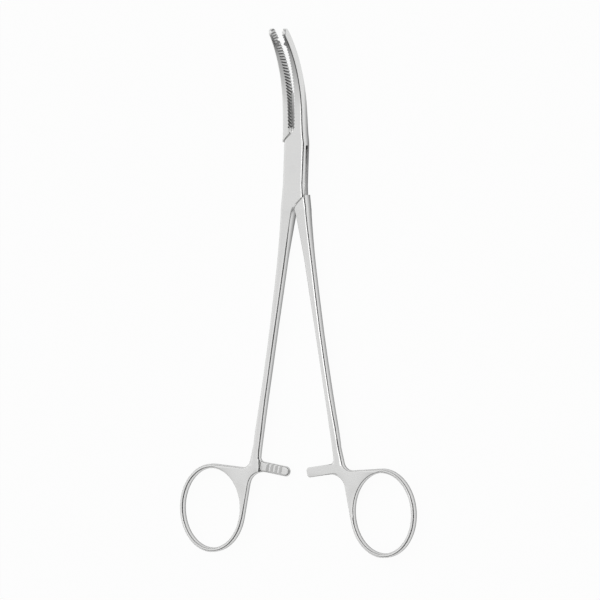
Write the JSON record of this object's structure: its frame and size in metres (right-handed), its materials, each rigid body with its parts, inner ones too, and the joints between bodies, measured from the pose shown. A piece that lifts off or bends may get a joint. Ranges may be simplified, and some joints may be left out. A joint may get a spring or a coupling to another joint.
{
  "type": "hysterectomy forceps",
  "caption": "Curved locking tissue forceps with a box-lock pivot, long slim shanks, oval finger rings, ratchet arms, slanted jaw grooves and a cross tooth with its notch.",
  "frame": {"origin": "on the pivot axis, at the flat back face of the box lock", "axes": "+X towards the ring of the tongue half, +Y along the middle line to the jaw tips, +Z along the pivot axis to the front, the way the jaws curve"},
  "size_m": [0.1034, 0.2085, 0.0195],
  "materials": {
    "box_half_steel": "satin, glass-bead blasted stainless steel",
    "tongue_half_steel": "satin, glass-bead blasted stainless steel",
    "pin_steel": "ground flush with the box and blasted with it"
  },
  "bodies": {
    "box_side": {"box_half": "box_half_steel", "joint_pin": "pin_steel"},
    "tongue_side": {"tongue_half": "tongue_half_steel"}
  },
  "joints": [
    {"name": "box_lock_hinge", "type": "hinge", "parent": "box_side", "child": "tongue_side", "pos_m": [0, 0, 0.00295], "axis": [0, 0, 1], "range_deg": [-4.7, 85.3]}
  ]
}
